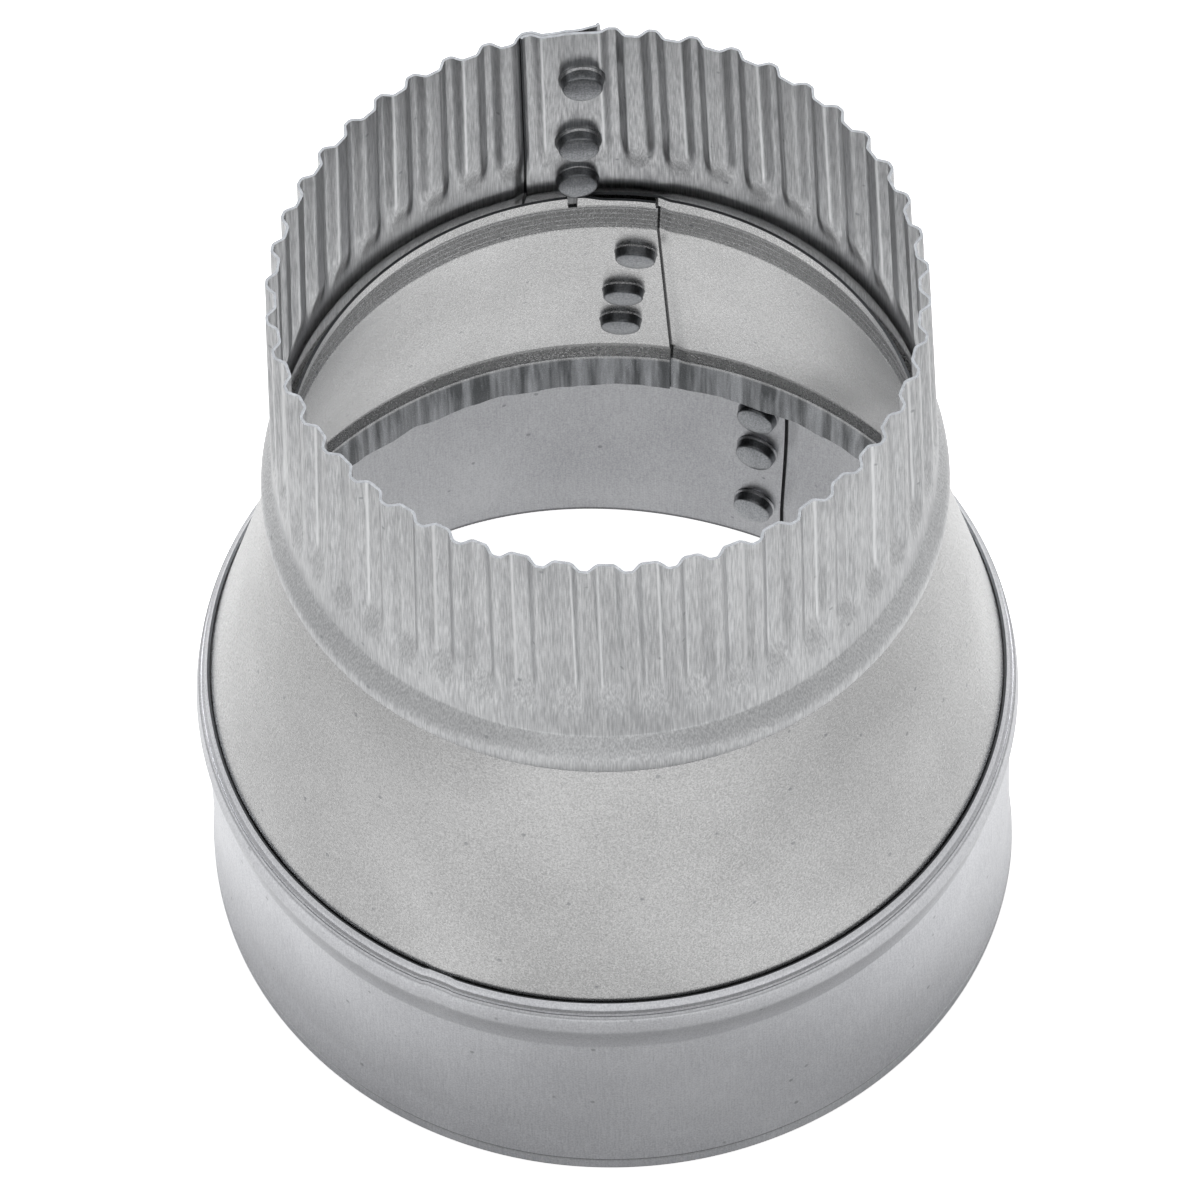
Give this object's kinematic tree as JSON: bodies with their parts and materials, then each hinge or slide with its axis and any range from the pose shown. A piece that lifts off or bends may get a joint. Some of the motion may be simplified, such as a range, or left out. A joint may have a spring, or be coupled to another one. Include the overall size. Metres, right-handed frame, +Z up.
{
  "type": "duct reducer",
  "caption": "Straight round duct reducer in galvanised sheet: a plain collar at the large end, a cone, and a crimped collar at the small end, with lapped, clinched seams.",
  "frame": {"origin": "centre of the large end's lower edge, on the duct axis", "axes": "+Z up the duct axis from the large plain end to the small crimped end; -Y faces the camera of the picture"},
  "size_m": [0.13, 0.13, 0.1495],
  "materials": {
    "crimped_collar": "galvanised sheet, satin, with fine upright streaks",
    "cone": "galvanised sheet, satin",
    "plain_collar": "galvanised sheet, satin, faintly bluish"
  },
  "bodies": {
    "root": {"crimped_collar": "crimped_collar", "cone": "cone", "plain_collar": "plain_collar"}
  },
  "joints": []
}
